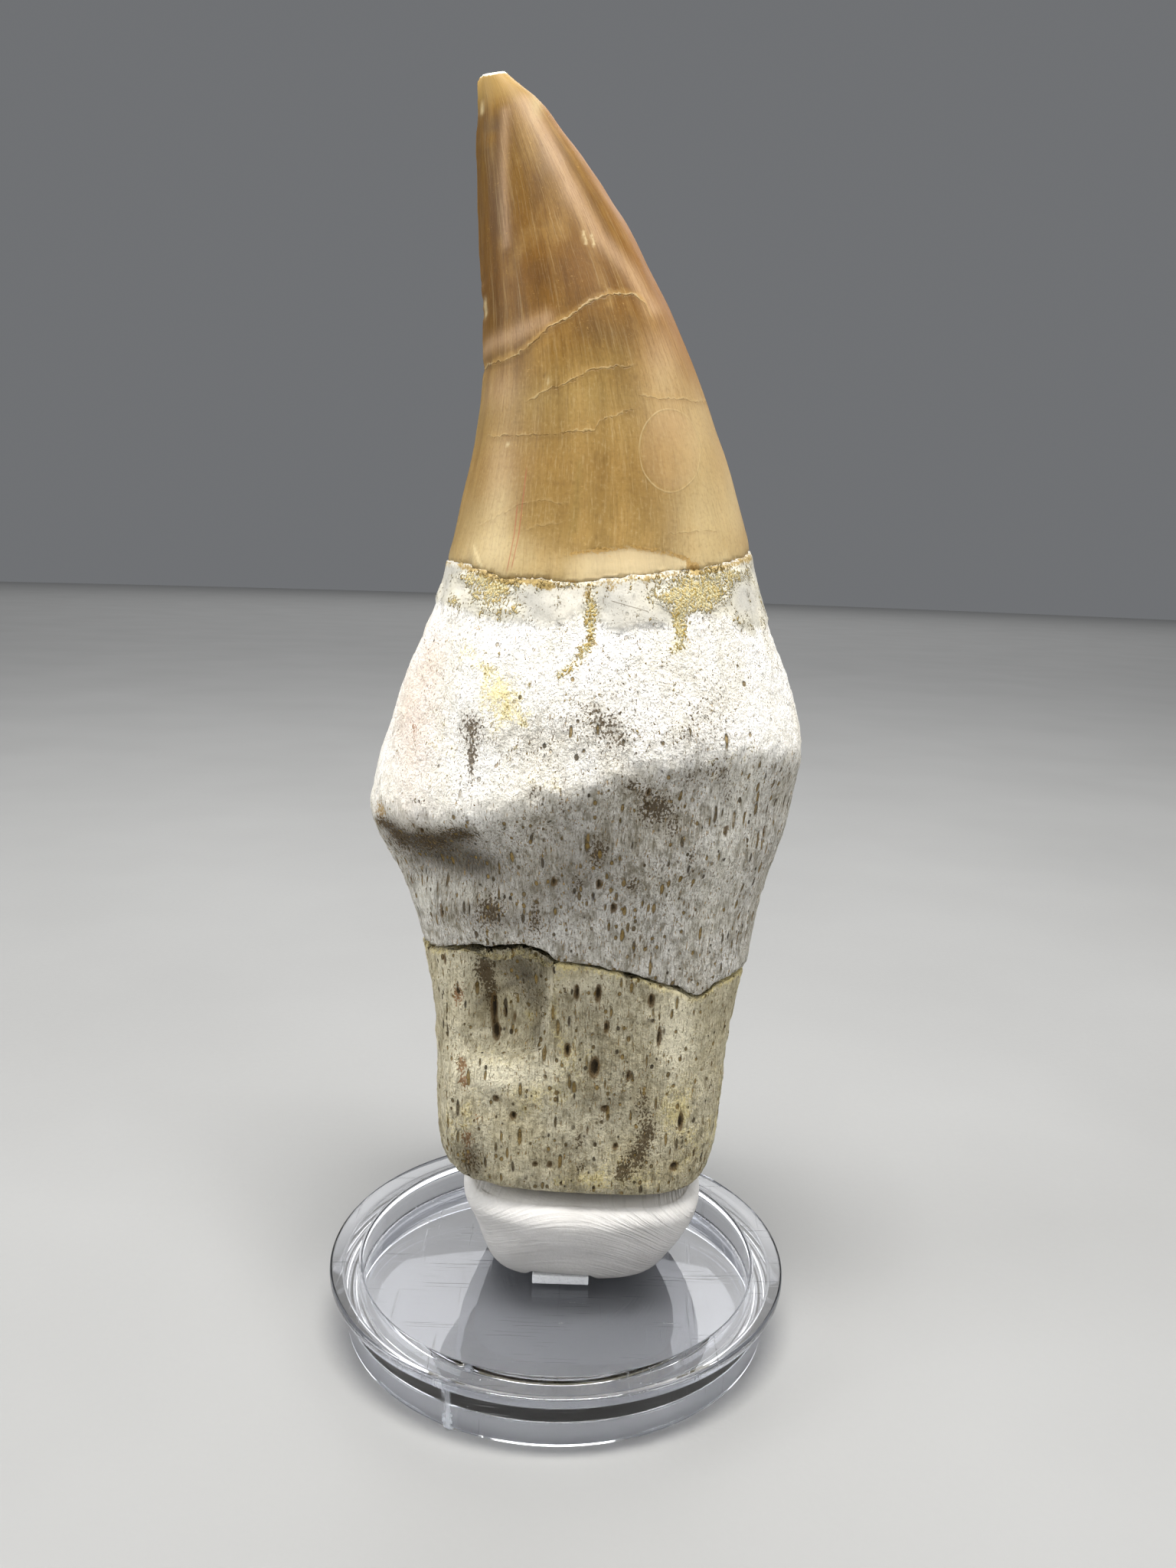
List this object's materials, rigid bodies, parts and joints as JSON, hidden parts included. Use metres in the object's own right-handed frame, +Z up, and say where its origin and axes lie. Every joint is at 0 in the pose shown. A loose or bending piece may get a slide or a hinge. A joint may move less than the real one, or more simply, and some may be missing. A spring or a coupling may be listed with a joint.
{
  "type": "fossil tooth on stand",
  "caption": "Rooted fossil reptile tooth with a curved crown and swollen porous root, held upright by putty on a clear round stand.",
  "frame": {"origin": "middle of the stand's foot, on the surface that it stands on", "axes": "+Z up along the tooth to its tip; the front of the tooth faces -Y, and its crown curves towards -X"},
  "size_m": [0.046, 0.046, 0.1189],
  "materials": {
    "enamel_and_bone": "satin enamel crown over chalky porous bone",
    "weathered_bone": "matt porous bone with yellow stains",
    "putty": "smooth off-white putty",
    "tape": "white tape",
    "clear_plastic": "clear moulded plastic, glossy"
  },
  "bodies": {
    "root": {"tooth": "enamel_and_bone", "root_end": "weathered_bone", "putty": "putty", "tape_pad": "tape", "dish": "clear_plastic"}
  },
  "joints": []
}
